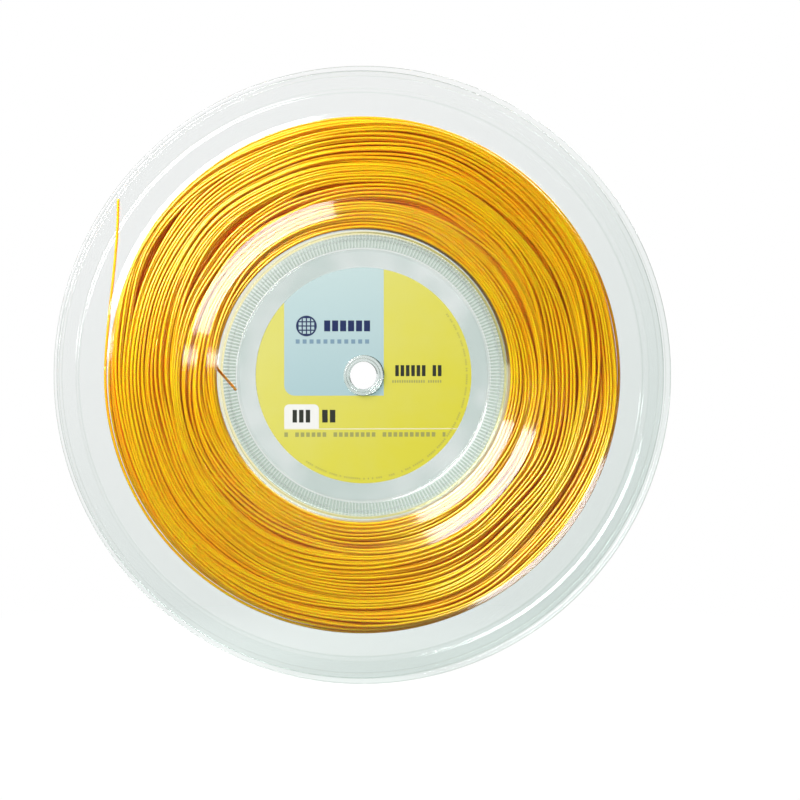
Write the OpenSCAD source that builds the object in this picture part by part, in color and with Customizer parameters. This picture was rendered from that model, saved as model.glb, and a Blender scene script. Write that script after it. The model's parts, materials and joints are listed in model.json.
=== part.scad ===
// A reel of racket string: a clear spool of two plugged-together halves, wound with one long
// monofilament, with a round label on each side.
// Every piece is drawn with the reel's axis along its own +Z and the labelled front towards +Z.
// stand() then stands it up: the axis lies along Y, the front faces -Y, and the origin stays on
// the axis, midway between the flanges. Angles are counted anticlockwise, as seen from the front.

/* [Flanges] */
// Radius of the flanges over their rim bead
rim_r = 135; // [132:0.5:142]
// Gap between the two flange plates, which holds the string
gap_w = 16; // [15:0.5:20]
// Thickness of the flange plates
plate_t = 1.6; // [1.4:0.1:2]
// Radius at which a flange steps away from the string
step_r = 124.9; // [122:0.1:126]
// How far the flange steps away from the string
step_h = 0.9; // [0.6:0.1:1.2]
// Width of the rim bead
bead_w = 2.4; // [2:0.1:3]

/* [Dish] */
// Radius of the top of the dish, at the flange's face
dish_top_r = 62.4; // [62:0.1:62.8]
// Radius of the flat floor of the dish
dish_floor_r = 55.3; // [53:0.1:57]
// Depth of the dish below the flange's face
dish_depth = 5; // [4:0.1:5.4]
// Thickness of the floor and wall of the dish
web_t = 1.5; // [1.2:0.1:1.7]

/* [Drum and hub] */
// Outer radius of the drum that the string is wound on
drum_r = 64.3; // [64:0.1:65]
// Thickness of each of the two nested drum walls
drum_t = 1.35; // [1:0.05:1.4]
// Radius of the spindle bore
bore_r = 6.1; // [5.5:0.1:6.4]
// Outer radius of the hub
hub_r = 8.9; // [8.6:0.1:10]
// How far the hub stands above the floor of the dish
boss_h = 1.6; // [1:0.1:3]
// Length of the front hub's spigot, which plugs into the rear hub
spigot_l = 3.5; // [2:0.1:4]

/* [Labels] */
// Radius of the labels
label_r = 47.4; // [40:0.1:50]
// Thickness of the labels
label_t = 0.25; // [0.15:0.05:0.3]

/* [String] */
// Diameter of the string
string_d = 1.25; // [1.1:0.05:1.35]
// Outer radius of the wound pack
coil_r = 112.4; // [90:0.1:118]
// Height of the last turn above the reel's middle plane
turn_z = 3; // [-5:0.5:5]
// Angle at which the free end leaves the pack
leave_a = 178; // [175:1:185]
// Length of the free end
free_l = 73.5; // [60:0.5:80]
// Radius of the free end's own gentle curl
free_curl_r = 860; // [700:10:1200]
// Angle at which the inner end of the string goes through the drum
start_a = 178.6; // [0:0.1:359]
// Angle between the inner end and the way straight to the axis
start_lean = 47.5; // [30:0.5:50]

/* [Hidden] */
$fn = 96;

plug_gap = 0.05;         // clearance where the two halves plug together
run_gap = 0.06;          // clearance under the last turn
overlap = 0.2;           // how far solids of one moulding run into each other
string_r = string_d / 2;

// heights above the reel's middle plane
plate_z = gap_w / 2;
face_z = plate_z + plate_t;
ring_z = plate_z + step_h;
floor_z = face_z - dish_depth;
boss_z = floor_z + boss_h;
bead_rise = 0.8;         // how far the bead stands out of the flange's outer ring
bead_top_z = ring_z + plate_t + bead_rise;
bead_low_z = ring_z - 0.3;
bead_round = 0.7;
start_z = 1;             // the inner end of the string

step_run = 0.9;          // radial length of the sloping step
lip_r = 0.35;            // half-round line round the floor of the dish
inner_wall_top_z = plate_z - 2.5;
inner_drum_r = drum_r - drum_t - plug_gap;
drum_mid_r = drum_r - drum_t - plug_gap / 2;

// the wound pack
coil_side_gap = 0.4;
coil_in_r = drum_r + 0.2;
coil_round = 2.5;

// the last turn and the free end
turn_r = coil_r + run_gap + string_r;
turn_arc = 340;
end_gap_a = (string_r + plug_gap) / turn_r * 180 / PI;
free_arc = free_l / free_curl_r * 180 / PI;

// the inner end of the string and the hole that it goes through
start_out_l = 1.1;
start_in_l = 10.6;
start_hole_r = 0.85;

clear_plastic = [0.86, 0.92, 0.93, 0.4];
label_yellow = [0.88, 0.87, 0.36];
string_gold = [0.93, 0.72, 0.1];

module stand() {
    rotate([90, 0, 0]) children();
}

// A ring of rectangular section
module ring(r_in, r_out, z_low, z_high) {
    rotate_extrude() translate([r_in, z_low]) square([r_out - r_in, z_high - z_low]);
}

// Section of the rim bead: a rectangle with four rounded corners
module bead_section() {
    wide = bead_w - 2 * bead_round;
    tall = bead_top_z - bead_low_z - 2 * bead_round;
    translate([rim_r - bead_w, bead_low_z + bead_round]) square([bead_w, tall]);
    translate([rim_r - bead_w + bead_round, bead_low_z]) square([wide, tall + 2 * bead_round]);
    for (x = [bead_round, bead_round + wide], z = [bead_round, bead_round + tall])
        translate([rim_r - bead_w + x, bead_low_z + z]) circle(bead_round);
}

// Section of what both halves have: plate, step, outer ring, bead, wall and floor of the dish
module half_section() {
    ring_in_r = step_r + step_run;
    translate([dish_top_r, plate_z]) square([step_r - dish_top_r, plate_t]);
    polygon([[step_r, plate_z], [ring_in_r, ring_z], [ring_in_r, ring_z + plate_t], [step_r, face_z]]);
    translate([ring_in_r, ring_z]) square([rim_r - bead_w + bead_round - ring_in_r, plate_t]);
    bead_section();
    polygon([
        [dish_top_r, face_z], [dish_floor_r, floor_z], [dish_floor_r, floor_z - web_t],
        [dish_floor_r + web_t / 2, floor_z - web_t], [inner_drum_r, plate_z]
    ]);
    translate([hub_r - overlap, floor_z - web_t]) square([dish_floor_r - hub_r + overlap, web_t]);
    translate([dish_floor_r - lip_r, floor_z]) circle(lip_r);
}

// Places its child, drawn along +Z, along the inner end of the string, pointing into the drum
module along_start_end() {
    rotate([0, 0, start_a]) translate([drum_mid_r, 0, start_z])
        rotate([0, 0, 180 - start_lean]) rotate([0, 90, 0]) children();
}

// The slanting hole through the drum walls
module start_hole() {
    along_start_end() translate([0, 0, -2 * drum_t - 1])
        cylinder(h = 4 * drum_t + 2, r = start_hole_r);
}

module front_flange() {
    color(clear_plastic) stand() difference() {
        union() {
            rotate_extrude() half_section();
            ring(drum_r - drum_t, drum_r, plug_gap - plate_z, plate_z + overlap);
            ring(bore_r, hub_r, 0, boss_z);
            ring(bore_r, (bore_r + hub_r) / 2 - plug_gap, -spigot_l, overlap);
        }
        start_hole();
    }
}

module rear_flange() {
    socket_z = -spigot_l - plug_gap;
    color(clear_plastic) stand() difference() {
        union() {
            mirror([0, 0, 1]) rotate_extrude() half_section();
            ring(inner_drum_r - drum_t, inner_drum_r, -plate_z - overlap, inner_wall_top_z);
            ring(bore_r, hub_r, -boss_z, socket_z);
            ring((bore_r + hub_r) / 2, hub_r, socket_z - overlap, -plug_gap);
        }
        start_hole();
    }
}

module label(z) {
    color(label_yellow) stand() ring(hub_r + 0.1, label_r, z, z + label_t);
}

module front_label() {
    label(floor_z);
}

module rear_label() {
    label(-floor_z - label_t);
}

module string_start_end() {
    color(string_gold) stand() along_start_end() translate([0, 0, -start_out_l])
        cylinder(h = start_out_l + start_in_l, r = string_r);
}

// The pack is one closed ring, a little rounded at its two outer edges
module string_coil() {
    side_z = plate_z - coil_side_gap;
    color(string_gold) stand() rotate_extrude() {
        translate([coil_in_r, -side_z]) square([coil_r - coil_round - coil_in_r, 2 * side_z]);
        translate([coil_in_r, coil_round - side_z])
            square([coil_r - coil_in_r, 2 * (side_z - coil_round)]);
        for (s = [-1, 1]) translate([coil_r - coil_round, s * (side_z - coil_round)]) circle(coil_round);
    }
}

// The last turn stops short of a full circle where the string comes up out of the pack
module string_outer_turn() {
    color(string_gold) stand() translate([0, 0, turn_z])
        rotate_extrude(angle = turn_arc - end_gap_a, start = leave_a + end_gap_a)
            translate([turn_r, 0]) circle(string_r);
}

// The free end leaves along the tangent, curls gently, and starts in a ball that it can swing about
module string_free_end() {
    color(string_gold) stand() {
        rotate([0, 0, leave_a]) translate([turn_r, 0, turn_z]) sphere(string_r);
        rotate([0, 0, leave_a]) translate([turn_r - free_curl_r, 0, turn_z])
            rotate_extrude(angle = free_arc, start = -free_arc)
                translate([free_curl_r, 0]) circle(string_r);
    }
}

front_flange();
rear_flange();
front_label();
rear_label();
string_start_end();
string_coil();
string_outer_turn();
string_free_end();
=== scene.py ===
import json
import math

import bpy
import bmesh
import numpy as np
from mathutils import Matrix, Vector

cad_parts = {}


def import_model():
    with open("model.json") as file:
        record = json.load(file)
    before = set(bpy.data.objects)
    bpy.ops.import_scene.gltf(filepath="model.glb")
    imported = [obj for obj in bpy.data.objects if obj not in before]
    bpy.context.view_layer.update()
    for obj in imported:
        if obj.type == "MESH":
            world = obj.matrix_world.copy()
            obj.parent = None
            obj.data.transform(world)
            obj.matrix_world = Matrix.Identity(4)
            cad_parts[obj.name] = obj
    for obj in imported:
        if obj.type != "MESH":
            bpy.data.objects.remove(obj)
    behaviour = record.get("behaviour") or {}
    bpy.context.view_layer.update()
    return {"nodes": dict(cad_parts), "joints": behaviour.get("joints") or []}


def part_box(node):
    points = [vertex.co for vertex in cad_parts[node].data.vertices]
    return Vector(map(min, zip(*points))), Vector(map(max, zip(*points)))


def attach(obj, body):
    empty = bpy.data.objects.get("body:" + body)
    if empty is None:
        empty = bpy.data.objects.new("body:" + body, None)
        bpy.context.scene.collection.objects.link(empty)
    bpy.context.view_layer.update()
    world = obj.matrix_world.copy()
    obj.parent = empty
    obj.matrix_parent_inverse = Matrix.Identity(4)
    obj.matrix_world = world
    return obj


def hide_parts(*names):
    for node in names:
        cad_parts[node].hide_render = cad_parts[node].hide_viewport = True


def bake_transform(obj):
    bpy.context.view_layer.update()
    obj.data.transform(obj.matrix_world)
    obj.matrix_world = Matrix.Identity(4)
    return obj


# A reel of golden racket string on a clear two-part spool, standing on a pale floor.
# The reel's axis lies along Y and its front faces -Y. Shapes are worked out in millimetres as
# radius, angle and height: the angle is anticlockwise as seen from the front, starting at +X, and
# the height is along the axis towards the front. Everything handed to Blender is in metres.

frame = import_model()
MM = 0.001
NODES = frame["nodes"]


# ---------------------------------------------------------------- sizes that the frame gives

def top_corner(node):
    """Highest corner of a node's box, in millimetres."""
    return [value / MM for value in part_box(node)[1]]


def low_corner(node):
    """Lowest corner of a node's box, in millimetres."""
    return [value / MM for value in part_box(node)[0]]


def joint(name):
    return next(j for j in frame["joints"] if j["name"] == name)


COIL_R = top_corner("string_coil")[0]
COIL_HALF_W = top_corner("string_coil")[1]
STRING_D = top_corner("string_outer_turn")[1] - low_corner("string_outer_turn")[1]
STRING_R = STRING_D / 2
TURN_R = -low_corner("string_outer_turn")[0] - STRING_R
LEAVE_X, LEAVE_Y, LEAVE_Z = [value / MM for value in joint("free_end_swing")["pos_m"]]
LEAVE_A = math.atan2(LEAVE_Z, LEAVE_X)
TURN_H = -LEAVE_Y


# ---------------------------------------------------------------- geometry helpers

SAME_PLACE = 1e-7           # metres between points that count as one
OFF_LINE = 0.01             # millimetres a point may stand off a straight line
SHORT_EDGE = 0.3            # millimetres below which an edge is part of a small feature, and stays
SHARP = math.radians(20)    # corners that turn more than this are rounded
FILLET_SHARE = 0.3          # most of a side that one fillet takes


def place(radius, angle, height):
    """Millimetres on the reel to metres in the frame. Takes numbers or arrays."""
    return np.stack(np.broadcast_arrays(
        radius * np.cos(angle) * MM, -height * MM, radius * np.sin(angle) * MM), axis=-1)


def add_object(name, data):
    thing = bpy.data.objects.new(name, data)
    bpy.context.scene.collection.objects.link(thing)
    return thing


def mesh_object(name, points, faces):
    """A smooth-shaded mesh from an array of points and a list of index arrays, one per face size."""
    mesh = bpy.data.meshes.new(name)
    points = np.asarray(points, np.float32).reshape(-1, 3)
    mesh.vertices.add(len(points))
    mesh.vertices.foreach_set("co", points.ravel())
    corners = np.concatenate([f.ravel() for f in faces])
    sizes = np.concatenate([np.full(len(f), f.shape[1]) for f in faces])
    mesh.loops.add(len(corners))
    mesh.loops.foreach_set("vertex_index", corners.astype(np.int32))
    mesh.polygons.add(len(sizes))
    starts = np.concatenate([[0], np.cumsum(sizes)[:-1]])
    mesh.polygons.foreach_set("loop_start", starts.astype(np.int32))
    mesh.polygons.foreach_set("use_smooth", np.ones(len(sizes), bool))
    mesh.update(calc_edges=True)
    mesh.validate()
    return add_object(name, mesh)


def finish_piece(thing, body, material, stands_for):
    """Rides the piece on its body, puts it in a CAD node's place and gives it its material."""
    thing.data.materials.append(material)
    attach(thing, body)
    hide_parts(stands_for)


def section(node):
    """The closed outline of a turned CAD node, as an array of (radius, height) in order."""
    cut = bmesh.new()
    cut.from_mesh(NODES[node].data)
    bmesh.ops.remove_doubles(cut, verts=cut.verts, dist=SAME_PLACE)
    bmesh.ops.bisect_plane(cut, geom=cut.verts[:] + cut.edges[:] + cut.faces[:], dist=SAME_PLACE,
                           plane_co=(0, 0, 0), plane_no=(0, 0, 1),
                           clear_inner=True, clear_outer=True)
    links = {}
    for edge in cut.edges:
        a, b = edge.verts
        if a.co.x > 0 and b.co.x > 0:
            links.setdefault(a, []).append(b)
            links.setdefault(b, []).append(a)
    here = next(iter(links))
    order, before = [here], None
    while True:
        onward = [v for v in links[here] if v is not before]
        before, here = here, onward[0]
        if here is order[0]:
            break
        order.append(here)
    outline = np.array([[v.co.x / MM, -v.co.y / MM] for v in order])
    cut.free()
    return outline


def straighten(outline):
    """Drops points that lie on the straight line between their neighbours."""
    kept = []
    for i, here in enumerate(outline):
        before, after = outline[i - 1], outline[(i + 1) % len(outline)]
        run = after - before
        off = abs(run[0] * (here - before)[1] - run[1] * (here - before)[0]) / np.hypot(*run)
        if off > OFF_LINE or np.hypot(*(here - before)) < SHORT_EDGE:
            kept.append(here)
    return np.array(kept)


def fillet(outline, radius, steps=2):
    """Rounds a closed outline's sharp corners. A point on each side keeps the flats beside them flat."""
    rounded = []
    for i, here in enumerate(outline):
        to_before, to_after = outline[i - 1] - here, outline[(i + 1) % len(outline)] - here
        before_l, after_l = np.hypot(*to_before), np.hypot(*to_after)
        to_before, to_after = to_before / before_l, to_after / after_l
        if math.pi - math.acos(np.clip(to_before @ to_after, -1, 1)) < SHARP:
            rounded.append(here)
            continue
        cut = min(radius, FILLET_SHARE * before_l, FILLET_SHARE * after_l)
        start, end = here + cut * to_before, here + cut * to_after
        if before_l > 4 * cut:
            rounded.append(here + 2 * cut * to_before)
        for t in np.linspace(0, 1, steps + 1):
            rounded.append((1 - t) ** 2 * start + 2 * t * (1 - t) * here + t ** 2 * end)
        if after_l > 4 * cut:
            rounded.append(here + 2 * cut * to_after)
    return np.array(rounded)


# ---------------------------------------------------------------- the clear spool

SPOKES = 500                # steps round the reel
RIB_COUNT = 250
RIB_STEPS = (0, 1, 1, 0)    # one rib and its valley, over this many fine steps
RIB_H = 0.3
RIB_MARGIN = 0.9            # smooth wall left at each end of a rib
RIB_RAMP = 0.35             # length over which a rib rises
EDGE_R = 0.45               # rounding of the moulding's edges
WALL_RUN = 3                # the dish's wall runs more than this both outwards and upwards
ON_LINE = 1e-3              # millimetres off the wall within which a point belongs to it


def dish_wall(outline):
    """Index of the outline's edge that is the sloping outer wall of the dish."""
    run = np.roll(outline, -1, axis=0) - outline
    middle = outline + run / 2
    slopes = (abs(run[:, 0]) > WALL_RUN) & (abs(run[:, 1]) > WALL_RUN)
    return int(np.argmax(np.where(slopes, abs(middle[:, 1]), -1)))


def shell_rows(node):
    """The rows of a spool half's mesh, as (radius, height, rib height, has fine steps), and the
    way along the wall of its dish."""
    outline = straighten(section(node))
    wall = dish_wall(outline)
    foot, head = outline[wall], outline[(wall + 1) % len(outline)]
    length = np.hypot(*(head - foot))
    along = (head - foot) / length
    across = np.array([-along[1], along[0]])
    rows = [(*point, 0.0, False) for point in fillet(outline, EDGE_R)]
    # the ribs' own rows go in after the last row that belongs to the wall's foot
    after_foot, furthest = 0, 0.0
    for i, row in enumerate(rows):
        from_foot = np.array(row[:2]) - foot
        reach = np.hypot(*from_foot)
        on_wall = abs(from_foot @ across) < ON_LINE and 0 < from_foot @ along < length
        if on_wall and furthest < reach < RIB_MARGIN:
            after_foot, furthest = i, reach
    full_from = RIB_MARGIN + RIB_RAMP
    ribs = [(RIB_MARGIN, 0.0), (full_from, RIB_H), (length / 2, RIB_H),
            (length - full_from, RIB_H), (length - RIB_MARGIN, 0.0)]
    ribbed = [(*(foot + along * distance), height, True) for distance, height in ribs]
    return rows[:after_foot + 1] + ribbed + rows[after_foot + 1:], along


def bridge(starts, counts, i, j):
    """The faces between rows i and j of a turned mesh: quads, or triangles where a row of SPOKES
    points meets a row of twice as many. Returns them with their number of corners."""
    if counts[i] == counts[j]:
        k = np.arange(counts[i])
        k2 = (k + 1) % counts[i]
        return 4, np.stack([starts[i] + k, starts[i] + k2, starts[j] + k2, starts[j] + k], -1)
    coarse, dense = (i, j) if counts[i] < counts[j] else (j, i)
    k = np.arange(SPOKES)
    c0, c1 = starts[coarse] + k, starts[coarse] + (k + 1) % SPOKES
    d0, d1 = starts[dense] + 2 * k, starts[dense] + 2 * k + 1
    d2 = starts[dense] + (2 * k + 2) % counts[dense]
    fan = np.concatenate([np.stack(t, -1) for t in ((c0, d1, d0), (c0, c1, d1), (c1, d2, d1))])
    return 3, fan if coarse == i else fan[:, ::-1]


def shell(name, node, material):
    """One half of the spool, turned from its CAD outline, with fine ribs on the wall of its dish."""
    rows, along = shell_rows(node)
    outward = np.array([-along[1], along[0]])
    if (outward[1] > 0) != (node == "front_flange"):
        outward = -outward
    pattern = np.tile(RIB_STEPS, RIB_COUNT)
    points, starts, counts = [], [], []
    for radius, height, rib, is_fine in rows:
        count = len(pattern) if is_fine else SPOKES
        raise_by = rib * pattern if is_fine else np.zeros(count)
        angle = np.arange(count) * 2 * math.pi / count
        starts.append(sum(counts))
        counts.append(count)
        points.append(place(radius + raise_by * outward[0], angle, height + raise_by * outward[1]))
    faces = {4: [], 3: []}
    for i in range(len(rows)):
        corners, between_rows = bridge(starts, counts, i, (i + 1) % len(rows))
        faces[corners].append(between_rows)
    thing = mesh_object(name, np.concatenate(points), faces[4] + faces[3])
    outward_normals(thing)
    finish_piece(thing, "spool", material, node)


def outward_normals(thing):
    work = bmesh.new()
    work.from_mesh(thing.data)
    bmesh.ops.recalc_face_normals(work, faces=work.faces)
    work.to_mesh(thing.data)
    work.free()


# ---------------------------------------------------------------- the string

SEED = 4
PER_TURN = 180              # samples in one turn
STEP_A = 2 * math.pi / PER_TURN
MOST_TURNS = 700            # the pack is full long before this
BLOCK = 30                  # samples wound at a time
GRID = 0.1                  # steps across the pack, in millimetres
SIDES = 8
FINE_SIDES = 12             # for the stretches that are seen on their own
TURNS_PER_PIECE = 34
# the winder's guide, in millimetres and turns
TURN_BACK = 0.42            # usual distance from the flange at which it turns back
SHORTEST_PASS = 20          # samples from flange to flange, at the least
EARLY_SHARE = 0.2           # this share of the times it turns back earlier...
EARLY_BY = (1.4, 2.6)       # ...by this much
LAY = (1.25, 2.3)           # its travel in one turn of the reel
DWELL = (0.2, 1.7)          # how long it stays at a flange...
DWELL_DRIFT = 0.2           # ...and how far it drifts meanwhile
SWAYS = 6
SWAY_TURNS = (0.8, 3.2)
SWAY_SIZE = (0.08, 0.22)
GUIDE_SMOOTH = 25           # samples
PHASES = (0, 6.3)           # a wave starts anywhere in this range, in radians
# the string under the guide
REACH = 6                   # grid steps it may slide either way to lie deeper
SIDE_COST = 0.5             # how much a slide counts against the depth it gains
SLIDE_EASE = 0.12           # share of a wanted slide that happens in one sample
OVERFILL = 0.7              # string diameters by which the pack is filled beyond its outline
SMOOTH = 17                 # samples over which the string's stiffness rounds its bends
# the pack after it has slackened
RELAX_WAVES = 14
RELAX_SHIFT = 0.7           # typical shift of a strand, in millimetres
RELAX_ROUND = (1, 5)        # waves in one turn, fewer than the second
RELAX_ACROSS = (16, 34)     # radial length of a wave
RELAX_BELOW = (3, 7)        # its length along the axis
RELAX_ROOM = 5              # strands nearer than this to the drum or the outline move less
END_BEVEL = 0.18            # bevel of a cut end, as a share of the string's radius


def tube(name, path, sides=SIDES):
    """The string along a path of points in metres. Its two ends are cut and slightly rounded."""
    path = np.asarray(path, float)
    tangent = np.gradient(path, axis=0)
    tangent /= np.linalg.norm(tangent, axis=1)[:, None]
    bevel = END_BEVEL * STRING_R * MM
    path = np.concatenate([[path[0]] * 2, path, [path[-1]] * 2])
    path[2] += bevel * tangent[0]
    path[-3] -= bevel * tangent[-1]
    tangent = np.concatenate([[tangent[0]] * 2, tangent, [tangent[-1]] * 2])
    size = np.full(len(path), STRING_R * MM)
    size[[0, -1]] *= 0.3
    size[[1, -2]] *= 0.85
    across = np.cross(tangent, (0.0, 1.0, 0.0))
    across /= np.linalg.norm(across, axis=1)[:, None]
    upward = np.cross(across, tangent)
    turn = np.arange(sides) * 2 * math.pi / sides
    ring = (np.cos(turn)[None, :, None] * across[:, None, :]
            + np.sin(turn)[None, :, None] * upward[:, None, :])
    points = path[:, None, :] + size[:, None, None] * ring
    count = len(path)
    i, j = np.meshgrid(np.arange(count - 1), np.arange(sides), indexing="ij")
    j2 = (j + 1) % sides
    quads = np.stack([i * sides + j, i * sides + j2, (i + 1) * sides + j2, (i + 1) * sides + j], -1)
    first = np.arange(sides)[None, ::-1]
    last = (count - 1) * sides + np.arange(sides)[None, :]
    return mesh_object(name, points, [quads.reshape(-1, 4), first, last])


def smooth(values, width):
    """The values with every bend shorter than the window smoothed out."""
    window = np.hanning(width)
    return np.convolve(np.pad(values, width // 2, mode="edge"), window / window.sum(), mode="valid")


def smooth_step(share):
    return share * share * (3 - 2 * share)


def guide_heights(samples, half_w, start, rng):
    """Where the winder's guide holds the string: to and fro across the drum, never quite evenly."""
    knots, height, side, at = [(0, start)], start, 1, 0
    while at < samples:
        short = abs(rng.normal(0, TURN_BACK))
        if rng.random() < EARLY_SHARE:
            short += rng.uniform(*EARLY_BY)
        target = side * (half_w - short)
        per_turn = rng.uniform(*LAY)
        at += max(int(abs(target - height) / per_turn * PER_TURN), SHORTEST_PASS)
        knots.append((at, target))
        at += int(rng.uniform(*DWELL) * PER_TURN)
        knots.append((at, target + rng.uniform(-DWELL_DRIFT, DWELL_DRIFT)))
        height, side = target, -side
    at = np.arange(samples)
    heights = np.interp(at, *zip(*knots))
    for wave in range(SWAYS):
        period = PER_TURN * rng.uniform(*SWAY_TURNS)
        heights += rng.uniform(*SWAY_SIZE) * np.sin(2 * math.pi * at / period + rng.uniform(*PHASES))
    return np.clip(smooth(heights, GUIDE_SMOOTH), -half_w, half_w)


def taut_radius(a, b, at):
    """Radius at sample `at` of the straight line between two (sample, radius) points."""
    into, rest = (at - a[0]) * STEP_A, (b[0] - at) * STEP_A
    return a[1] * b[1] * np.sin(into + rest) / (a[1] * np.sin(into) + b[1] * np.sin(rest))


def chain_radii(chain, at):
    """Radii at the samples `at` of the taut string whose bends are the points of the chain."""
    bend, radius = np.array([c[0] for c in chain]), np.array([c[1] for c in chain])
    i = np.clip(np.searchsorted(bend, at, side="right") - 1, 0, len(bend) - 2)
    return taut_radius((bend[i], radius[i]), (bend[i + 1], radius[i + 1]), at)


def pull_taut(chain, point):
    """Adds a resting place, and drops those before it that the taut string now clears."""
    while len(chain) > 1 and chain[-1][1] <= taut_radius(chain[-2], point, chain[-1][0]):
        chain.pop()
    chain.append(point)


def wind(in_r, out_r, half_w, start_h, end_phase):
    """Winds one taut string on the drum until the pack is full.
    Returns each sample's radius and height. A sample rests on whatever was wound before it, and
    between two resting places the string runs straight, as a string under tension does."""
    rng = np.random.default_rng(SEED)
    guide = guide_heights(MOST_TURNS * PER_TURN, half_w - STRING_R, start_h, rng)
    radii, heights = np.zeros(len(guide)), np.zeros(len(guide))
    lowest, limit = in_r + STRING_R, out_r - STRING_R
    # ground is the radius at which a string would rest, by sample of the turn and step of the grid
    grid = np.arange(-half_w - STRING_D, half_w + STRING_D, GRID)
    ground = np.full((PER_TURN, len(grid)), lowest)
    slides = np.arange(-REACH, REACH + 1)
    chain, slide, laid = [(0, lowest)], 0.0, 0

    def column(height):
        return ((height - grid[0]) / GRID).round().astype(int)

    for start in range(0, len(guide), BLOCK):
        samples = start + np.arange(BLOCK)
        rows = samples % PER_TURN
        near = np.clip(column(guide[samples])[:, None] + slides, 0, len(grid) - 1)
        cost = ground[rows[:, None], near] + SIDE_COST * (slides * GRID) ** 2
        wanted = slides[np.argmin(cost, axis=1)] * GRID
        for sample, wish in zip(samples, wanted):
            slide += SLIDE_EASE * (wish - slide)
            heights[sample] = np.clip(guide[sample] + slide, STRING_R - half_w, half_w - STRING_R)
        for point in zip(samples, ground[rows, column(heights[samples])]):
            pull_taut(chain, point)
        # everything before this block stays where it is, and carries what comes next
        at = np.arange(laid, start)
        if len(at):
            radii[at] = chain_radii(chain[-3 * BLOCK:], at)
            gap = grid[None, :] - heights[at][:, None]
            lift = radii[at][:, None] + np.sqrt(np.maximum(STRING_D ** 2 - gap ** 2, 0))
            rows = at % PER_TURN
            raised = np.maximum(ground[rows], lift)
            ground[rows] = np.where(abs(gap) < STRING_D, raised, ground[rows])
            laid = start
        if ground.max(axis=1).min() > limit + OVERFILL * STRING_D:
            break
    end = laid - (laid - end_phase) % PER_TURN
    heights = smooth(heights[:end], SMOOTH)
    radii = smooth(np.minimum(radii[:end], limit), SMOOTH)
    return relax(radii, heights, lowest, limit, rng), heights


def relax(radii, heights, least, most, rng):
    """Shifts the strands in and out a little, more slowly than they are thick, as a slackened pack
    does. Strands side by side move together and strands further below move otherwise."""
    angles = -np.arange(len(radii)) * STEP_A
    shift = np.zeros(len(radii))
    for wave in range(RELAX_WAVES):
        across = 2 * math.pi * radii / rng.uniform(*RELAX_ACROSS) * rng.choice([-1, 1])
        below = 2 * math.pi * heights / rng.uniform(*RELAX_BELOW)
        shift += np.sin(rng.integers(*RELAX_ROUND) * angles + across + below + rng.uniform(*PHASES))
    shift *= RELAX_SHIFT / math.sqrt(RELAX_WAVES / 2)
    room = np.clip(np.minimum(radii - least, most - radii) / RELAX_ROOM, 0, 1)
    return np.clip(radii + shift * smooth_step(room), least, most)


def spread(points, count):
    """The same path with `count` points, evenly spaced along it."""
    points = np.asarray(points, float)
    reach = np.concatenate([[0], np.cumsum(np.linalg.norm(np.diff(points, axis=0), axis=1))])
    at = np.linspace(0, reach[-1], count)
    return np.stack([np.interp(at, reach, points[:, axis]) for axis in range(3)], axis=-1)


def bezier(a, b, c, d, count):
    t = np.linspace(0, 1, count)[:, None]
    a, b, c, d = (np.asarray(p, float) for p in (a, b, c, d))
    return (1 - t) ** 3 * a + 3 * t * (1 - t) ** 2 * b + 3 * t ** 2 * (1 - t) * c + t ** 3 * d


def rod_ends(node):
    """The two ends of a straight CAD rod's centre line: the middles of its two flat ends."""
    co = np.array([v.co for v in NODES[node].data.vertices])
    middle = co.mean(axis=0)
    axis = np.linalg.svd(co - middle, full_matrices=False)[2][0]
    reach = (co - middle) @ axis
    return middle + axis * reach.min(), middle + axis * reach.max()


def clockwise(angle):
    """The way that the string runs at an angle on the reel: clockwise as seen from the front."""
    return np.array([math.sin(angle), 0.0, -math.cos(angle)])


PACK_STARTS = LEAVE_A - math.radians(8)
PACK_ENDS = LEAVE_A - math.radians(20)      # the last turn comes out of the pack here
START_BEND = 3.2            # how sharply the inner end bends onto the drum, in millimetres
CLIMB = 0.06                # share of the last turn in which it climbs out of the pack
TURN_SWAY = 0.35            # how far the last turn wanders along the axis, in millimetres
TURN_SWAYS = 3


def wound_string(material):
    """The pack: one string wound turn by turn, in pieces of a size that exports well."""
    inside_r = section("string_coil")[:, 0].min()
    end_phase = round((PACK_STARTS - PACK_ENDS) / STEP_A)
    start_h = -0.5 * (top_corner("string_start_end")[1] + low_corner("string_start_end")[1])
    radii, heights = wind(inside_r, COIL_R, COIL_HALF_W, start_h, end_phase)
    angles = PACK_STARTS - STEP_A * np.arange(len(radii))
    path = place(radii, angles, heights)
    per_piece = TURNS_PER_PIECE * PER_TURN
    for i in range(math.ceil(len(path) / per_piece)):
        stretch = path[i * per_piece:(i + 1) * per_piece + 1]
        thing = tube(f"string_windings_{i + 1}", stretch)
        finish_piece(thing, "spool", material, "string_coil")
    start_piece(path[0], PACK_STARTS, material)
    last_turn(radii[-1], heights[-1], angles[-1], material)


def start_piece(onto, angle, material):
    """The inner end: from inside the drum, out through the hole in its walls and onto the drum."""
    inner, outer = sorted(rod_ends("string_start_end"), key=lambda p: math.hypot(p[0], p[2]))
    run = (outer - inner) / np.linalg.norm(outer - inner)
    pull = START_BEND * MM
    bend = bezier(outer, outer + run * pull, onto - clockwise(angle) * pull, onto, 16)
    path = np.concatenate([np.linspace(inner, outer, 12)[:-1], bend])
    thing = tube("string_start", spread(path, 36), FINE_SIDES)
    finish_piece(thing, "spool", material, "string_start_end")


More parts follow.
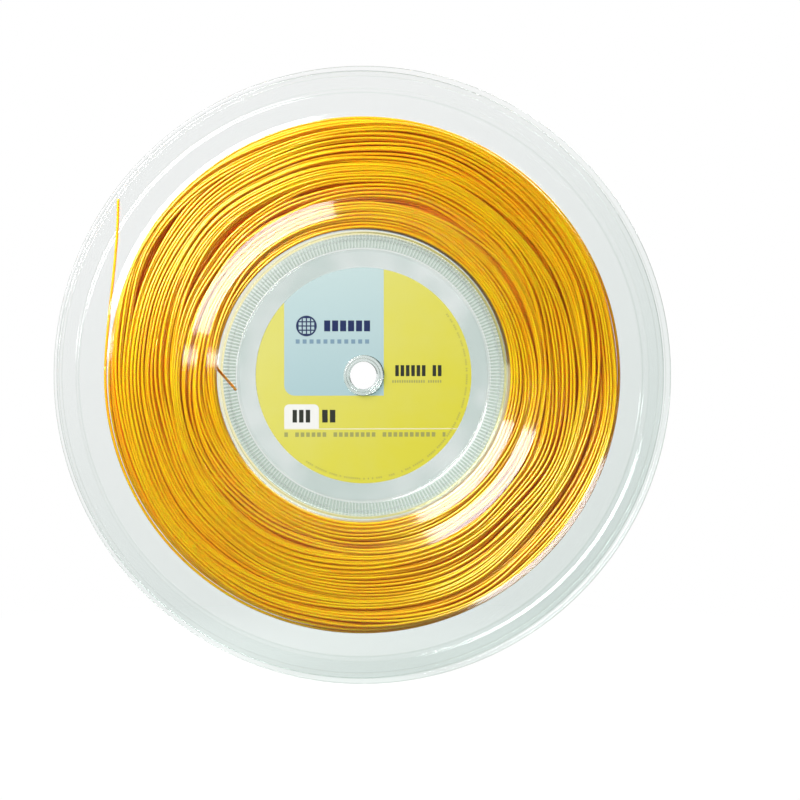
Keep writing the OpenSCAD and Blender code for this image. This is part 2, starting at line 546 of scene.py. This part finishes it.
def last_turn(end_r, end_h, end_a, material):
    """The last turn, which climbs out of the pack and runs round it to where the free end leaves."""
    sweep = (end_a - LEAVE_A) % (2 * math.pi)
    done = np.linspace(0, 1, 2 * PER_TURN)
    angle = LEAVE_A + np.linspace(0, sweep, 2 * PER_TURN)
    rise = smooth_step(np.clip((1 - done) / CLIMB, 0, 1))
    radius = end_r + (TURN_R - end_r) * rise
    sway = TURN_SWAY * np.sin(done * 2 * math.pi * TURN_SWAYS) * np.sin(done * math.pi) ** 2
    height = end_h + (TURN_H + sway - end_h) * rise
    thing = tube("string_last_turn", place(radius, angle, height), FINE_SIDES)
    finish_piece(thing, "outer_turn", material, "string_outer_turn")


def free_end(material):
    """The free end: an arc that leaves along the pack's tangent and ends where the CAD rod ends.
    It bends over its whole length from the last turn to its tip, as a springy string
    does, so it never breaks away from the turn."""
    co = np.array([v.co for v in NODES["string_free_end"].data.vertices])
    near_top = co[:, 2].max() - 0.3 * STRING_R * MM
    tip = co[co[:, 2] > near_top].mean(axis=0)
    start = place(TURN_R, LEAVE_A, TURN_H)
    tip[1] = start[1]
    heading = clockwise(LEAVE_A)
    chord = tip - start
    pull = np.linalg.norm(chord) / 3
    back = chord - heading * (2 * (heading @ chord))
    end_heading = -back / np.linalg.norm(back)
    path = bezier(start, start + heading * pull, tip - end_heading * pull, tip, 64)
    thing = tube("string_tail", path, FINE_SIDES)
    thing.data.materials.append(material)
    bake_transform(thing)
    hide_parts("string_free_end")


# ---------------------------------------------------------------- shader helpers

def new_material(name):
    material = bpy.data.materials.new(name)
    material.use_nodes = True
    material.node_tree.nodes.clear()
    return material, material.node_tree


def connect(tree, socket, value):
    """Feeds a socket with another node's output, or sets its value."""
    if isinstance(value, bpy.types.NodeSocket):
        tree.links.new(value, socket)
    else:
        socket.default_value = value


def node(tree, kind, inputs=None, **settings):
    """Adds a shader node. inputs maps a name or an index to a value or to another node's output."""
    made = tree.nodes.new("ShaderNode" + kind)
    for key, value in settings.items():
        setattr(made, key, value)
    for key, value in (inputs or {}).items():
        connect(tree, made.inputs[key], value)
    return made


def calc(tree, operation, *values, clamp=False):
    return node(tree, "Math", dict(enumerate(values)), operation=operation, use_clamp=clamp).outputs[0]


def fold(tree, operation, first, *others):
    """Applies an operation of two values to any number of them."""
    for other in others:
        first = calc(tree, operation, first, other)
    return first


def product(tree, *values):
    return fold(tree, "MULTIPLY", *values)


def total(tree, *values):
    return fold(tree, "ADD", *values)


def hypotenuse(tree, a, b):
    return calc(tree, "SQRT", total(tree, product(tree, a, a), product(tree, b, b)))


def remap(tree, value, low, high, to_low, to_high):
    return node(tree, "MapRange", {"Value": value, "From Min": low, "From Max": high,
                                   "To Min": to_low, "To Max": to_high}).outputs[0]


def blend_colour(tree, share, first, second, how="MIX"):
    made = node(tree, "Mix", data_type="RGBA", blend_type=how)
    for index, value in ((0, share), (6, first), (7, second)):
        connect(tree, made.inputs[index], value)
    return made.outputs[2]


def noise(tree, place, scale, detail):
    return node(tree, "TexNoise", {"Vector": place, "Scale": scale, "Detail": detail}).outputs[0]


def object_mm(tree):
    """The object's own coordinates in millimetres: x, y and z sockets and the whole vector."""
    vector = node(tree, "TexCoord").outputs["Object"]
    scaled = node(tree, "VectorMath", {0: vector, 1: (1 / MM,) * 3}, operation="MULTIPLY").outputs[0]
    split = node(tree, "SeparateXYZ", {0: scaled})
    return split.outputs[0], split.outputs[1], split.outputs[2], scaled


def output(tree, surface):
    node(tree, "OutputMaterial", {"Surface": surface})


# ---------------------------------------------------------------- the string's material

GOLD_DEEP = (0.97, 0.55, 0.002, 1)
GOLD_PALE = (0.98, 0.74, 0.004, 1)
# painted shade: a redder gold for strands that lie below the pack's faces
PAINTED_SHADE_GOLD = (0.98, 0.40, 0.001, 1)     # of strands that lie below the pack's faces
GOLD_THROUGH = (0.99, 0.45, 0.002, 1)   # of light that has come through a strand
# painted light: the strands' faint glow
PAINTED_GLOW_GOLD = (0.8, 0.30, 0.001, 1)
STREAK_ROUND = 3.5          # streaks round the reel, for each across its radius
STREAK_ACROSS = 0.5         # streaks to the millimetre across the strands
THROUGH_SHARE = 0.24


def string_material():
    """Golden monofilament. Part of the light that goes in comes back golden, part comes out at
    the far side, and the polished skin adds narrow white highlights. A faint painted glow stands for the
    light that wanders from strand to strand inside the pack, and painted shade turns the strands below
    the pack's faces a redder gold."""
    material, tree = new_material("string_gold")
    x, y, z, _ = object_mm(tree)
    radius = hypotenuse(tree, x, z)
    # noise drawn out along the strands: it changes slowly round the reel and quickly across it
    round_reel = node(tree, "CombineXYZ", {
        0: product(tree, calc(tree, "DIVIDE", x, radius), STREAK_ROUND),
        1: product(tree, calc(tree, "DIVIDE", z, radius), STREAK_ROUND),
        2: product(tree, radius, STREAK_ACROSS)}).outputs[0]
    streaks = node(tree, "TexNoise", {"Vector": round_reel, "W": product(tree, y, STREAK_ACROSS),
                                      "Scale": 1.0, "Detail": 3.0}, noise_dimensions="4D").outputs[0]
    colour = blend_colour(tree, remap(tree, streaks, 0.32, 0.68, 0.0, 1.0), GOLD_DEEP, GOLD_PALE)
    # painted shade: strands below the pack's faces are given a redder gold, standing for light that
    # reaches them through those above
    from_middle = calc(tree, "ABSOLUTE", y)
    depth = remap(tree, from_middle, COIL_HALF_W - 0.7, COIL_HALF_W - 2.8, 0.0, 1.0)
    inside = remap(tree, radius, COIL_R - 0.5, COIL_R - 3.0, 0.0, 0.9)
    colour = blend_colour(tree, product(tree, depth, inside), colour, PAINTED_SHADE_GOLD)
    bump = node(tree, "Bump", {"Height": streaks, "Strength": 0.04, "Distance": 0.0002}).outputs[0]
    skin = node(tree, "BsdfPrincipled", {
        "Base Color": colour,
        "Metallic": 0.36,
        "Roughness": remap(tree, streaks, 0.3, 0.7, 0.32, 0.44),
        "IOR": 1.5,
        "Subsurface Weight": 0.6,
        "Subsurface Radius": (0.0025, 0.0009, 0.0001),
        "Subsurface Scale": 1.0,
        "Coat Weight": 1.0,
        "Coat Roughness": 0.18,
        "Coat IOR": 1.65,
        "Coat Tint": (1.0, 0.88, 0.6, 1),
        "Specular IOR Level": 0.3,
        "Specular Tint": (1.0, 0.75, 0.2, 1),
        # painted light: a faint glow from every strand, standing for light passed between strands
        "Emission Color": PAINTED_GLOW_GOLD,
        "Emission Strength": 0.035,
        "Normal": bump}).outputs[0]
    through = node(tree, "BsdfTranslucent", {"Color": GOLD_THROUGH}).outputs[0]
    output(tree, node(tree, "MixShader", {0: THROUGH_SHARE, 1: skin, 2: through}).outputs[0])
    return material


# ---------------------------------------------------------------- the spool's material

# radii and heights of the moulding, in millimetres
RING_IN_R = 125.35          # the raised ring round the flange starts here
DISH_FLOOR_R = 55.6
DISH_LIP_R = 61.8
DRUM_R = 64.1
DRUM_HALF_W = 9.6
WALL_IN_R = 56.1            # the ribbed wall of the dish starts here
PLATE_MIDDLE = 8.8          # height of the middle of a flange's plate
# shallow rings on the flanges: foot nearest the axis, crest, outer foot, and face
SINK_RINGS = ((63.9, 69.3, 70.5, "outer"), (73.3, 79.7, 82.0, "outer"), (110.2, 112.6, 115.0, "outer"),
              (67.6, 70.0, 77.8, "inner"))
SINK_SLOPE = 0.42
CLEAR_FACE_ON = (0.995, 1.0, 0.998, 1)
CLEAR_EDGE_ON = (0.66, 0.73, 0.68, 1)
# painted light: the string's gold on the drum's edges
DRUM_PAINTED_GOLD = (1.0, 0.975, 0.86, 1)
# painted shade over the flanges and the dish
PAINTED_SHADE_TINT = (0.90, 0.93, 0.92, 1)
# painted shade in the valleys between the ribs
VALLEY_PAINTED_SHADE = (0.90, 0.92, 0.90, 1)
FACE_ON_MIRROR = 0.037      # share of light that the plastic reflects face on...
GLANCING_MIRROR = 0.75      # ...and what is added to it at a glancing angle


def sink_rings(tree, radius, y):
    """Height in metres of the shallow rings that the moulding left on the flanges' two faces."""
    outer = calc(tree, "GREATER_THAN", calc(tree, "ABSOLUTE", y), PLATE_MIDDLE)
    inner = calc(tree, "SUBTRACT", 1.0, outer)
    height = 0.0
    for foot, crest, far_foot, face in SINK_RINGS:
        climb = calc(tree, "DIVIDE", calc(tree, "SUBTRACT", radius, foot), crest - foot)
        fall = calc(tree, "DIVIDE", calc(tree, "SUBTRACT", far_foot, radius), far_foot - crest)
        ridge = calc(tree, "MAXIMUM", calc(tree, "MINIMUM", climb, fall), 0.0)
        rise = SINK_SLOPE * max(crest - foot, far_foot - crest) * MM
        height = total(tree, height, product(tree, ridge, outer if face == "outer" else inner, rise))
    return height


def within(tree, value, low, high):
    """1 between two values and 0 outside."""
    return product(tree, calc(tree, "GREATER_THAN", value, low), calc(tree, "LESS_THAN", value, high))


def less(tree, value, share):
    """What is left of a value where `share` of it is taken away."""
    return product(tree, value, calc(tree, "SUBTRACT", 1.0, share))


def sideways(tree, x, z, radius):
    """How far a face turns round the reel, as the flanks of the ribs do: 0 for turned faces."""
    normal = node(tree, "SeparateXYZ", {0: node(tree, "TexCoord").outputs["Normal"]}).outputs
    cross = calc(tree, "SUBTRACT", product(tree, normal[2], x), product(tree, normal[0], z))
    return calc(tree, "ABSOLUTE", calc(tree, "DIVIDE", cross, radius))


def clear_tint(tree, x, y, z, place_mm, radius, facing, on_wall, on_drum):
    """Colour of the light that one skin of the plastic lets through, with painted shade and painted gold
    laid on it.
    """
    inner_walls = total(tree, on_wall, on_drum)
    # grey-green where a skin is seen edge on; the flanks of the ribs get painted shade, standing for
    # light their slope bends away
    edge = calc(tree, "ADD", product(tree, calc(tree, "POWER", facing, 1.3), 0.7),
                product(tree, sideways(tree, x, z, radius), 0.25), clamp=True)
    edge = less(tree, edge, product(tree, inner_walls, 0.88))
    tint = blend_colour(tree, edge, CLEAR_FACE_ON, CLEAR_EDGE_ON)
    # painted light: the drum's clear walls are tinted with the string's gold towards their edges,
    # standing for the string's colour seen in them
    tint = blend_colour(tree, on_drum, tint, DRUM_PAINTED_GOLD, "MULTIPLY")
    # painted shade: the flanges are a little darker towards the lower right, away from the key lamp, and
    # more so in their raised ring; the floor of the dish gets patchy painted shade
    low_side = calc(tree, "SUBTRACT", product(tree, x, 0.55), z)
    drift = remap(tree, low_side, -120.0, 150.0, 0.0, 0.5)
    ring = product(tree, calc(tree, "GREATER_THAN", radius, RING_IN_R),
                   remap(tree, low_side, -60.0, 150.0, 0.0, 0.3))
    flow = remap(tree, noise(tree, place_mm, 0.035, 2.0), 0.35, 0.65, 0.15, 0.9)
    dish = product(tree, calc(tree, "LESS_THAN", radius, DISH_FLOOR_R), flow)
    tint = blend_colour(tree, total(tree, ring, drift, dish), tint, PAINTED_SHADE_TINT, "MULTIPLY")
    # painted shade: stripes round the reel darken the valleys between the ribs, standing for the light
    # the valleys bend away
    turn = product(tree, calc(tree, "ARCTAN2", z, x), RIB_COUNT / math.pi)
    valley = calc(tree, "PINGPONG", calc(tree, "ADD", turn, 2 * RIB_COUNT), 1.0)
    groove = product(tree, calc(tree, "SMOOTH_MIN", valley, 0.6, 0.2), on_wall, 1.5)
    return blend_colour(tree, groove, tint, VALLEY_PAINTED_SHADE, "MULTIPLY")


def clear_material():
    """Clear polystyrene: nearly colourless face on, grey-green where it is seen edge on, mirror-like at
    glancing angles and a touch hazy.
    Painted shade darkens the ribs' flanks and valleys, the lower right of the flanges and the dish, and
    painted gold tints the drum's edges."""
    material, tree = new_material("clear_polystyrene")
    x, y, z, place_mm = object_mm(tree)
    radius = hypotenuse(tree, x, z)
    rings = node(tree, "Bump", {"Height": sink_rings(tree, radius, y), "Strength": 1.0,
                                "Distance": 1.0}).outputs[0]
    facing = node(tree, "LayerWeight", {"Blend": 0.5}).outputs["Facing"]
    on_wall = within(tree, radius, WALL_IN_R, DISH_LIP_R)
    in_drum = calc(tree, "LESS_THAN", calc(tree, "ABSOLUTE", y), DRUM_HALF_W)
    on_drum = product(tree, within(tree, radius, DISH_LIP_R, DRUM_R), in_drum)
    tint = clear_tint(tree, x, y, z, place_mm, radius, facing, on_wall, on_drum)
    clear = node(tree, "BsdfTransparent", {"Color": tint}).outputs[0]
    scuff = noise(tree, place_mm, 2.6, 4.0)
    polish = total(tree, remap(tree, scuff, 0.3, 0.75, 0.05, 0.14), product(tree, on_wall, 0.3))
    gloss = node(tree, "BsdfGlossy", {"Color": (0.98, 0.99, 1, 1), "Normal": rings,
                                      "Roughness": polish}).outputs[0]
    glancing = product(tree, calc(tree, "POWER", facing, 5.0), GLANCING_MIRROR)
    mirror = less(tree, total(tree, glancing, FACE_ON_MIRROR),
                  product(tree, total(tree, on_wall, on_drum), 0.6))
    body = node(tree, "MixShader", {0: mirror, 1: clear, 2: gloss}).outputs[0]
    mist = node(tree, "BsdfTranslucent", {"Color": (0.9, 0.95, 0.95, 1)}).outputs[0]
    haze = remap(tree, scuff, 0.3, 0.7, 0.0003, 0.0015)
    output(tree, node(tree, "MixShader", {0: haze, 1: body, 2: mist}).outputs[0])
    return material


# ---- the labels' print: plain shapes and rows of blocks, in millimetres from the label's centre

INK_EDGE = 0.12             # width over which an ink's edge fades
YELLOW_COOL, YELLOW_WARM = (0.35, 0.335, 0.082, 1), (0.35, 0.325, 0.028, 1)
SLATE_LOW, SLATE_HIGH = (0.205, 0.288, 0.30, 1), (0.262, 0.332, 0.33, 1)
TAB_WHITE = (0.42, 0.42, 0.40, 1)
RULE_CREAM = (0.42, 0.41, 0.30, 1)
NAVY = (0.006, 0.012, 0.05, 1)
GREY = (0.12, 0.13, 0.06, 1)
BLACK = (0.012, 0.014, 0.01, 1)
PALE_BLUE = (0.10, 0.16, 0.21, 1)
RIM_PRINT_R = 45.3


def between(tree, value, low, high):
    """1 between two values and 0 outside, with a soft step."""
    rise = calc(tree, "DIVIDE", calc(tree, "SUBTRACT", value, low), INK_EDGE, clamp=True)
    fall = calc(tree, "DIVIDE", calc(tree, "SUBTRACT", high, value), INK_EDGE, clamp=True)
    return product(tree, rise, fall)


def rectangle(tree, u, v, left, right, bottom, top):
    return product(tree, between(tree, u, left, right), between(tree, v, bottom, top))


def disc(tree, reach, radius):
    return calc(tree, "DIVIDE", calc(tree, "SUBTRACT", radius, reach), INK_EDGE, clamp=True)


def rounded(tree, u, v, left, right, bottom, top, corner):
    """A rectangle with rounded corners."""
    past = []
    for value, low, high in ((u, left, right), (v, bottom, top)):
        off = calc(tree, "ABSOLUTE", calc(tree, "SUBTRACT", value, (low + high) / 2))
        past.append(calc(tree, "MAXIMUM", calc(tree, "SUBTRACT", off, (high - low) / 2 - corner), 0.0))
    return disc(tree, hypotenuse(tree, *past), corner)


def blocks(tree, u, v, left, right, bottom, top, pitch, fill=0.72, gaps=0.16):
    """A row of upright blocks in place of a line of print. Some are left out, as between words."""
    step = calc(tree, "DIVIDE", calc(tree, "SUBTRACT", u, left), pitch)
    along = product(tree, calc(tree, "FRACT", step), pitch)
    count = total(tree, calc(tree, "FLOOR", step), bottom * 7.3)
    luck = node(tree, "TexWhiteNoise", {"W": count}, noise_dimensions="1D").outputs["Value"]
    block = product(tree, between(tree, along, 0.0, fill * pitch),
                    calc(tree, "GREATER_THAN", luck, gaps))
    return product(tree, rectangle(tree, u, v, left, right, bottom, top), block)


def ball_badge(tree, u, v, middle_u, middle_v, radius):
    """A generic badge: a ring with the lattice of a string bed in it."""
    du, dv = calc(tree, "SUBTRACT", u, middle_u), calc(tree, "SUBTRACT", v, middle_v)
    reach = hypotenuse(tree, du, dv)
    ring = between(tree, reach, radius * 0.82, radius)
    lattice = 0.0
    for value in (du, dv):
        apart = calc(tree, "PINGPONG", calc(tree, "ADD", value, 10 * radius), radius * 0.2)
        lattice = calc(tree, "MAXIMUM", lattice, calc(tree, "LESS_THAN", apart, radius * 0.06))
    return calc(tree, "MAXIMUM", ring, product(tree, disc(tree, reach, radius), lattice))


def paper_ink(tree, u, v, place_mm):
    """The printed fields: yellow, paler and cooler at the upper left, and a blue-grey panel."""
    blotch = noise(tree, place_mm, 0.09, 3.0)
    warm = remap(tree, calc(tree, "SUBTRACT", u, v), -55.0, 55.0, 0.0, 1.0)
    warm = calc(tree, "ADD", warm, remap(tree, blotch, 0.3, 0.7, -0.12, 0.12), clamp=True)
    yellow = blend_colour(tree, warm, YELLOW_COOL, YELLOW_WARM)
    slate = blend_colour(tree, remap(tree, v, -9.0, 45.0, 0.0, 1.0), SLATE_LOW, SLATE_HIGH)
    # the panel's lower right corner is square
    panel = calc(tree, "MAXIMUM", rounded(tree, u, v, -35.0, 8.8, -8.9, 60.0, 4.7),
                 rectangle(tree, u, v, 0.0, 8.8, -8.9, 0.0))
    return blend_colour(tree, panel, yellow, slate)


def label_material():
    """Printed paper: a yellow field, a blue-grey panel, a white tab, a rule and generic marks."""
    material, tree = new_material("label_print")
    x, y, v, place_mm = object_mm(tree)
    # the rear label carries the same print, so it reads the other way round from the front
    u = product(tree, x, calc(tree, "SIGN", y), -1.0)
    # the tab's lower corners are square
    tab = calc(tree, "MAXIMUM", rounded(tree, u, v, -35.0, -19.7, -23.5, -12.6, 2.2),
               rectangle(tree, u, v, -35.0, -19.7, -23.5, -19.0))
    # a ring of tiny print round the lower right of the edge
    reach, turn = hypotenuse(tree, u, v), product(tree, calc(tree, "ARCTAN2", v, u), RIM_PRINT_R)
    marks = (
        (TAB_WHITE, 1.0, tab),
        (RULE_CREAM, 1.0, rectangle(tree, u, v, -35.0, 50.0, -23.7, -23.2)),
        (NAVY, 1.0, ball_badge(tree, u, v, -25.2, 21.7, 4.6)),
        (NAVY, 1.0, blocks(tree, u, v, -17.5, 3.4, 19.3, 24.2, 3.5, 0.8, 0.0)),
        (PALE_BLUE, 1.0, blocks(tree, u, v, -30.0, 3.4, 13.9, 15.9, 3.05, 0.62, 0.0)),
        (BLACK, 1.0, blocks(tree, u, v, 11.4, 34.4, -0.4, 4.6, 2.35, 0.72, 0.12)),
        (BLACK, 1.0, blocks(tree, u, v, -31.4, -22.8, -20.7, -15.0, 2.9, 0.72, 0.0)),
        (BLACK, 1.0, blocks(tree, u, v, -18.4, -11.6, -20.7, -15.0, 3.4, 0.75, 0.0)),
        (GREY, 0.75, blocks(tree, u, v, 11.4, 34.4, -3.3, -2.0, 1.05, 0.7, 0.14)),
        (GREY, 0.75, blocks(tree, u, v, -35.0, 36.0, -27.0, -24.9, 2.4, 0.72, 0.12)),
        (GREY, 0.7, blocks(tree, turn, reach, -98.0, 30.0, 44.9, 45.8, 0.95, 0.62, 0.2)))
    ink = paper_ink(tree, u, v, place_mm)
    for colour, strength, mark in marks:
        ink = blend_colour(tree, product(tree, mark, strength), ink, colour)
    grain = noise(tree, place_mm, 3.5, 4.0)
    bump = node(tree, "Bump", {"Height": grain, "Strength": 0.12, "Distance": 0.0002}).outputs[0]
    shader = node(tree, "BsdfPrincipled", {
        "Base Color": ink, "Roughness": remap(tree, grain, 0.3, 0.7, 0.36, 0.5), "Normal": bump,
        "Specular IOR Level": 0.25})
    output(tree, shader.outputs[0])
    return material


# ---------------------------------------------------------------- studio

FLOOR_R = 6.0
WHITE = (1, 1, 1, 1)
PAPER = (0.9, 0.9, 0.9, 1)
FLOOR_GLOW = 0.1            # how brightly the floor lights the reel from below
DAYLIGHT = (0.97, 0.985, 1, 1)


def camera_sees(tree):
    return node(tree, "LightPath").outputs["Is Camera Ray"]


def floor(height):
    """A white paper floor. It takes a faint shadow under the reel and is pure white further off."""
    work = bmesh.new()
    bmesh.ops.create_circle(work, cap_ends=True, segments=96, radius=FLOOR_R)
    mesh = bpy.data.meshes.new("floor")
    work.to_mesh(mesh)
    work.free()
    thing = add_object("floor", mesh)
    thing.location = (0, 0, height)
    material, tree = new_material("studio_floor")
    place_m = node(tree, "TexCoord").outputs["Object"]
    away = node(tree, "VectorMath", {0: place_m}, operation="LENGTH").outputs["Value"]
    grain = noise(tree, place_m, 60.0, 2.0)
    paper = node(tree, "BsdfPrincipled", {
        "Base Color": PAPER, "Roughness": remap(tree, grain, 0.3, 0.7, 0.6, 0.8)}).outputs[0]
    strength = remap(tree, camera_sees(tree), 0, 1, FLOOR_GLOW, 1.0)
    glow = node(tree, "Emission", {"Color": WHITE, "Strength": strength}).outputs[0]
    white = remap(tree, away, 0.1, 0.35, 0.88, 1.0)
    output(tree, node(tree, "MixShader", {0: white, 1: paper, 2: glow}).outputs[0])
    thing.data.materials.append(material)


def world():
    """White behind the reel, dimmer above it and dark towards the camera. The camera sees white."""
    sky = bpy.data.worlds.new("studio")
    bpy.context.scene.world = sky
    sky.use_nodes = True
    tree = sky.node_tree
    tree.nodes.clear()
    toward = node(tree, "SeparateXYZ", {0: node(tree, "TexCoord").outputs["Generated"]}).outputs
    backdrop = remap(tree, toward[1], 0.25, 0.75, 0.0, 1.0)
    overhead = remap(tree, toward[2], 0.2, 1.0, 0.05, 0.5)
    strength = calc(tree, "MAXIMUM", backdrop, overhead)
    light = node(tree, "Background", {"Color": DAYLIGHT, "Strength": strength}).outputs[0]
    white = node(tree, "Background", {"Color": WHITE, "Strength": 1.0}).outputs[0]
    mixed = node(tree, "MixShader", {0: camera_sees(tree), 1: light, 2: white}).outputs[0]
    node(tree, "OutputWorld", {"Surface": mixed})


def aim(thing, target):
    direction = Vector(target) - thing.location
    thing.rotation_euler = direction.to_track_quat("-Z", "Y").to_euler()


def softbox(name, where, side, power):
    """A square lamp of a given side in metres, aimed at the reel."""
    data = bpy.data.lights.new(name, "AREA")
    data.shape = "RECTANGLE"
    data.size = data.size_y = side
    data.energy = power
    thing = add_object(name, data)
    thing.location = where
    bpy.context.view_layer.update()
    aim(thing, (0, 0, 0))


CAMERA_D = 1.2              # metres from the reel
CAMERA_LEFT = math.radians(2.8)
CAMERA_UP = math.radians(0.7)
SENSOR = 36.0
HALF_VIEW = 0.14696         # half the picture's width over the distance, as a slope
OFF_CENTRE = (16.2 * MM, 0, -10.9 * MM)


def camera():
    data = bpy.data.cameras.new("camera")
    data.sensor_width = SENSOR
    data.lens = SENSOR / 2 / HALF_VIEW
    thing = add_object("camera", data)
    flat = CAMERA_D * math.cos(CAMERA_UP)
    thing.location = (-flat * math.sin(CAMERA_LEFT), -flat * math.cos(CAMERA_LEFT),
                      CAMERA_D * math.sin(CAMERA_UP))
    bpy.context.view_layer.update()
    aim(thing, OFF_CENTRE)
    bpy.context.scene.camera = thing


# ---------------------------------------------------------------- everything together

clear = clear_material()
gold = string_material()
printed = label_material()
shell("spool_front", "front_flange", clear)
shell("spool_rear", "rear_flange", clear)
wound_string(gold)
free_end(gold)
for label in ("front_label", "rear_label"):
    NODES[label].data.materials.clear()
    NODES[label].data.materials.append(printed)
floor(low_corner("front_flange")[2] * MM)
world()
softbox("key", (-0.8, -0.9, 0.8), 1.2, 78)
softbox("fill", (0.72, -0.95, -0.36), 0.6, 15)
softbox("back", (0.75, 1.1, 0.9), 0.9, 28)
camera()
bpy.context.scene.view_settings.view_transform = "Standard"
bpy.context.scene.cycles.transparent_max_bounces = 32
bpy.context.scene.cycles.max_bounces = 8
